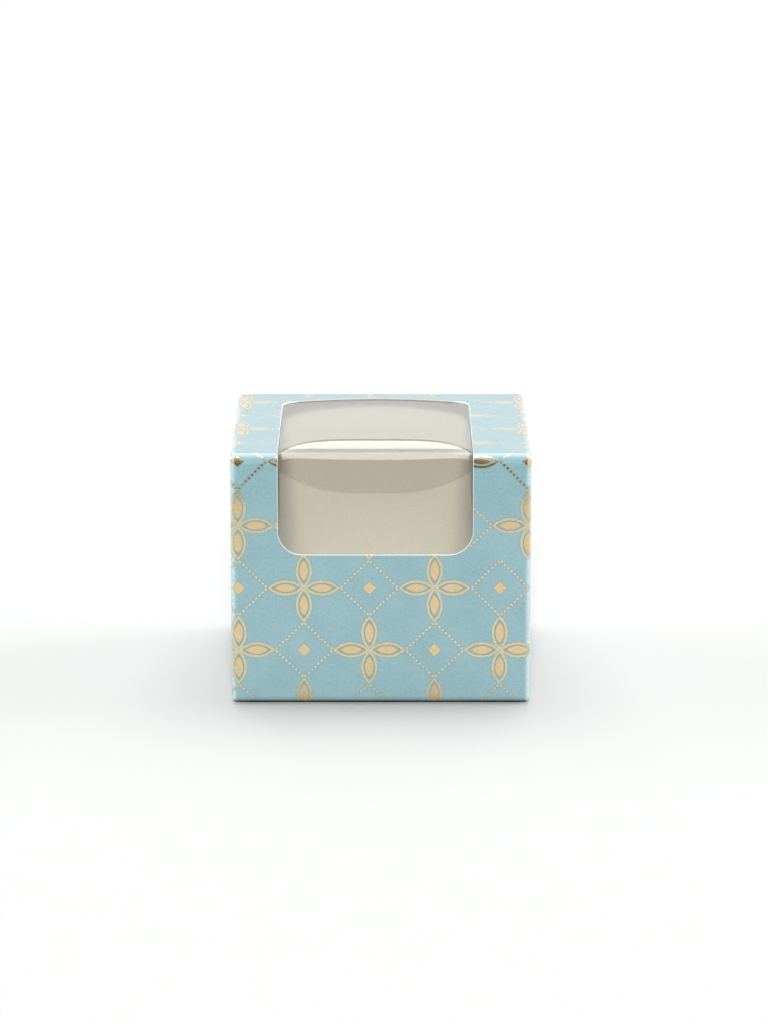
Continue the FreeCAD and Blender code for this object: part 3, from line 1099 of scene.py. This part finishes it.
    def dust_flap(self, side: Side) -> Object:
        """Makes a dust flap with its crease on a side wall.

        Args:
            side: which wall carries it.

        Returns:
            The flap, bending between the carton and its own body.
        """
        b, sign, out, lip = self.blank, self.end.value, side.value, self.blank.edge_lip
        top = self.end is End.TOP
        length, corner = self.top_dust if top else self.base_dust
        start = b.side_top if top else -b.side_low
        root, seam, front, back = start + b.quarter, start - b.seam, b.root_front, b.root_back
        outline: Outline = [
            (seam, front, 0, lip), (root, front, 0, lip), (root + length, front + length, corner, lip),
            (root + length, back - self.dust_taper, corner, lip), (root, back, 0, lip), (seam, back, 0, 0),
        ]
        word, hand = "top" if top else "base", side.name.lower()
        run = BoardRun([Crease(start, b.quarter, 90)], start)
        level = sign * start
        piece = BoardPiece(
            f"{word}_dust_board_{hand}", run, (out * b.width / 2, 0, level), (0, 0, sign), (out, 0, 0),
            (0, 1, 0), outline, lambda q, u: (out * (b.turn_s + b.flat + u), sign * q),
        ).build(self.finishes.board())
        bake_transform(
            piece, "carton", f"{word}_flap_{hand}", (out * b.width / 2 * MM, 0, level * MM),
            (out * b.flat * MM, 0, (level + sign * b.fold) * MM),
        )
        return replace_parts(piece, f"{word}_dust_flap_{hand}")


@dataclass
class WindowFilm:
    """The clear patch behind the window: one film, springing over the lid crease in a soft bend."""

    blank: Blank
    finishes: Finishes
    margin: float = 3.5
    back_margin: float = 2.0
    thick: float = 0.15
    clearance: float = 0.03
    edge_bend: float = 4.8
    middle_bend: float = 14.2
    bend_reach: float = 12.0
    rise: float = 2.3
    forward: float = 0.4
    ridge: float = 0.12
    ridge_half: float = 2.5
    lean_height: float = 73.0
    # How quickly the bend's radius, its lift and its push grow from the window's sides
    spring_power: float = 3.2
    lift_power: float = 6.5
    push_power: float = 12.0
    side_strip: float = 6.0
    columns: tuple[int, ...] = (4, 13, 31, 13, 4)
    front_rows: int = 25
    bend_rows: int = 36
    lid_rows: int = 30

    def section(self, x: float) -> np.ndarray:
        """Works out the film's section at one place across the window.

        Args:
            x: distance from the middle of the box in mm.

        Returns:
            Points back from the front face and up from the lid face, in mm.
        """
        b = self.blank
        aside = 1 - max(0.0, 1 - abs(x - b.window_middle) / b.window_half)
        powers = (self.spring_power, self.lift_power, self.push_power)
        spring, lift, push = (1 - aside**power for power in powers)
        behind = b.board + self.clearance
        lean = float(b.lean(np.array([self.lean_height]), np.array([x]))[0])
        ridge = self.ridge * math.exp(-((x / self.ridge_half) ** 2))
        y0 = (behind + lean) * (1 - push) - self.forward * push - ridge
        z0 = -behind * (1 - lift) + self.rise * lift
        radius = self.edge_bend + (self.middle_bend - self.edge_bend) * spring
        foot, start = b.window_low - b.height, z0 - radius
        made = [(behind, foot - self.margin)]
        for k in range(self.front_rows):
            t = k / self.front_rows
            made.append((behind + (y0 - behind) * eased(t), foot + (start - foot) * t))
        for k in range(self.bend_rows + 1):
            a = math.pi / 2 * k / self.bend_rows
            made.append((y0 + radius * (1 - math.cos(a)), z0 - radius * (1 - math.sin(a))))
        near = y0 + radius
        back = (b.window_back(x) if aside < 1 else b.window_reach) + b.depth / 2
        for k in range(1, self.lid_rows + 1):
            t = k / self.lid_rows
            # The film falls to the lid partly in a straight line and partly in an easy one
            fall = 0.7 * t + 0.3 * eased(t)
            made.append((near + (back - near) * t, z0 + (-behind - z0) * fall))
        made.append((b.window_reach + b.window_bow + b.depth / 2 + self.back_margin, -behind))
        return np.array(made)

    def build(self) -> Object:
        """Makes the film and bends it between the carton and the lid."""
        b = self.blank
        # Narrow columns at the window's sides, where the bend changes most
        left, right, strip = b.window_left, b.window_right, self.side_strip
        stops = (left - self.margin, left, left + strip, right - strip, right, right + self.margin)
        spans = [np.linspace(*span)[:-1] for span in zip(stops, stops[1:], self.columns)]
        xs = np.concatenate((*spans, [stops[-1]]))
        sections = np.array([self.section(float(x)) for x in xs])
        wide, tall = sections.shape[:2]
        backs, ups = sections[:, :, 0] - b.depth / 2, sections[:, :, 1] + b.height
        outer = np.stack((np.repeat(xs[:, None], tall, 1), backs, ups), 2)
        normal = np.cross(np.gradient(outer, axis=0), np.gradient(outer, axis=1))
        normal /= np.linalg.norm(normal, axis=2)[:, :, None]
        points = np.concatenate((outer.reshape(-1, 3), (outer - normal * self.thick).reshape(-1, 3))) * MM
        count = wide * tall
        faces: list[tuple[int, ...]] = []
        for i in range(wide - 1):
            for j in range(tall - 1):
                a, c = i * tall + j, (i + 1) * tall + j
                faces += [(a, c, c + 1, a + 1), (a + count, a + 1 + count, c + 1 + count, c + count)]
        rim = [i * tall for i in range(wide)] + [(wide - 1) * tall + j for j in range(1, tall)]
        rim += [i * tall + tall - 1 for i in range(wide - 2, -1, -1)] + [j for j in range(tall - 2, 0, -1)]
        for a, c in zip(rim, rim[1:] + rim[:1]):
            faces.append((c, a, a + count, c + count))
        steps = np.linalg.norm(np.diff(sections[wide // 2], axis=0), axis=1)
        lengths = np.concatenate(([0.0], np.cumsum(steps)))
        marks = np.stack((np.repeat(xs, tall), np.tile(lengths, wide)), 1) / UV_UNIT
        kinds = [0] * len(faces)
        piece = make_piece("window_film", points, faces, kinds, np.tile(marks, (2, 1)), [self.finishes.film])
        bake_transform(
            piece, "carton", "lid", (0, -b.depth / 2 * MM, (b.height - self.bend_reach) * MM),
            (0, (-b.depth / 2 + self.bend_reach) * MM, b.height * MM),
        )
        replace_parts(piece, "window_film_front", "window_film_bend", "window_film_lid")
        return piece


@dataclass
class Studio:
    """Pale floor, soft overhead light, a distant front fill and the camera."""

    pitch: float = 13.6155
    lens: float = 155.29
    sensor: float = 36.0
    place: Way = (0.000953, -1.311867, 0.366160)
    floor_grey: str = "B4B5B4"
    floor_half: float = 4.0
    floor_near: float = -0.45
    floor_far: float = 5.0
    # Brightness of the parts of the room, from the front over the top to the wall behind
    room: float = 0.12
    soft_low: float = 2.8
    soft_high: float = 4.0
    gap: float = 0.35
    wall: float = 1.1
    far_wall: float = 0.95
    corner: float = 0.3
    side_left: float = 7.0
    side_right: float = 10.0
    fill: float = 3.96
    fill_height: float = 30.0
    fill_angle: float = 9.0

    def camera(self) -> None:
        """Makes the camera at the photograph's angle."""
        data = bpy.data.cameras.new("camera")
        data.sensor_width, data.lens = self.sensor, self.lens
        data.clip_start, data.clip_end = 0.01, 50.0
        camera = link("camera", data)
        camera.location = self.place
        camera.rotation_euler = (math.radians(90 - self.pitch), 0, 0)
        bpy.context.scene.camera = camera

    def floor(self) -> None:
        """Makes the floor, which runs far behind the box and ends in front of it."""
        mesh = bpy.data.meshes.new("floor")
        half, near, far = self.floor_half, self.floor_near, self.floor_far
        corners = [(-half, near, 0), (half, near, 0), (half, far, 0), (-half, far, 0)]
        mesh.from_pydata(corners, [], [(0, 1, 2, 3)])
        material, tree = new_material("matte_painted_board_floor")
        place = add(tree, "TexCoord").outputs["Object"]
        tooth = add(tree, "TexNoise", {"Vector": place, "Scale": 60.0})
        shade = add(tree, "MapRange", {0: tooth, 3: 0.99, 4: 1.0})
        colour = add(tree, "VectorMath SCALE", {0: linear(self.floor_grey)[:3], 3: shade})
        finish = {"Base Color": colour, "Roughness": 0.9, "Specular IOR Level": 0.1}
        add(tree, "OutputMaterial", [add(tree, "BsdfPrincipled", finish)])
        mesh.materials.append(material)
        floor = link("floor", mesh)

    def light(self) -> None:
        """Sets the room that the box mirrors and the fill that lights its front."""
        world = bpy.data.worlds.new("studio")
        bpy.context.scene.world = world
        world.use_nodes = True
        tree = world.node_tree
        tree.nodes.clear()
        x, y, z = add(tree, "SeparateXYZ", [add(tree, "TexCoord").outputs["Generated"]]).outputs
        forward = add(tree, "Math MULTIPLY", [y, -1.0])
        over = add(tree, "Math ARCTAN2", [z, forward])
        turn = add(tree, "Math MULTIPLY", [over, 1 / math.pi])
        # Dark room in front, soft box overhead, a gap behind it, then the white wall behind
        spans = (
            (0.0, 0.41, self.room), (0.425, 0.50, self.soft_low), (0.56, 0.80, self.soft_high),
            (0.815, 0.88, self.gap), (0.895, 0.93, self.wall), (0.945, 1.0, self.far_wall),
        )
        stops = [(place, value) for start, end, value in spans for place in (start, end)]
        band = ramp(add(tree, "ValToRGB", [turn]), stops)
        # The side panels stand level with the box and behind it, so the foot of its front stays in shade
        aside = add(tree, "Math ABSOLUTE", [x])
        flank = add(tree, "MapRange", [aside, 0.34, 0.44])
        beside = add(tree, "MapRange", [x, -0.3, 0.3, self.side_left, self.side_right])
        bright = add(tree, "MapRange", [aside, 0.76, 0.92, 0.06, 1.0])
        behind = add(tree, "MapRange", [y, -0.2, 0.1])
        for value, operation in ((bright, "MULTIPLY"), (behind, "MULTIPLY"), (self.corner, "MAXIMUM")):
            beside = add(tree, f"Math {operation}", [beside, value])
        light = add(tree, "Mix", {0: flank, 2: band, 3: beside})
        seen = add(tree, "LightPath").outputs["Is Camera Ray"]
        shown = add(tree, "Mix", {0: seen, 2: light, 3: 1.0})
        back = add(tree, "Background", [(1, 1, 1, 1), shown])
        add(tree, "OutputWorld", [back])
        sun = bpy.data.lights.new("front_fill", "SUN")
        sun.energy, sun.angle = self.fill, math.radians(self.fill_angle)
        fill = link("front_fill", sun)
        fill.rotation_euler = (math.radians(90 - self.fill_height), 0, 0)
        fill.visible_glossy = False


def main() -> None:
    """Builds the studio and the pieces of the box in order, and reports them."""
    logging.basicConfig(level=logging.INFO, format="%(name)s: %(message)s")
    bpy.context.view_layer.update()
    bpy.context.scene.view_settings.view_transform = "Standard"
    studio = Studio()
    studio.camera()
    studio.floor()
    studio.light()
    finishes = Finishes(*(kind().build() for kind in (FoilPrintedBoard, BoardReverse, DieCutEdge, ClearFilm)))
    blank = Blank()
    tube = Tube(blank, finishes)
    pieces = [tube.front(), tube.side(Side.RIGHT), tube.side(Side.LEFT), tube.back(), tube.glue_flap()]
    for end in End:
        closure = Closure(blank, finishes, end)
        pieces += [closure.panel(), closure.tuck(), closure.dust_flap(Side.LEFT), closure.dust_flap(Side.RIGHT)]
    pieces.append(WindowFilm(blank, finishes).build())


if __name__ == "__main__":
    main()
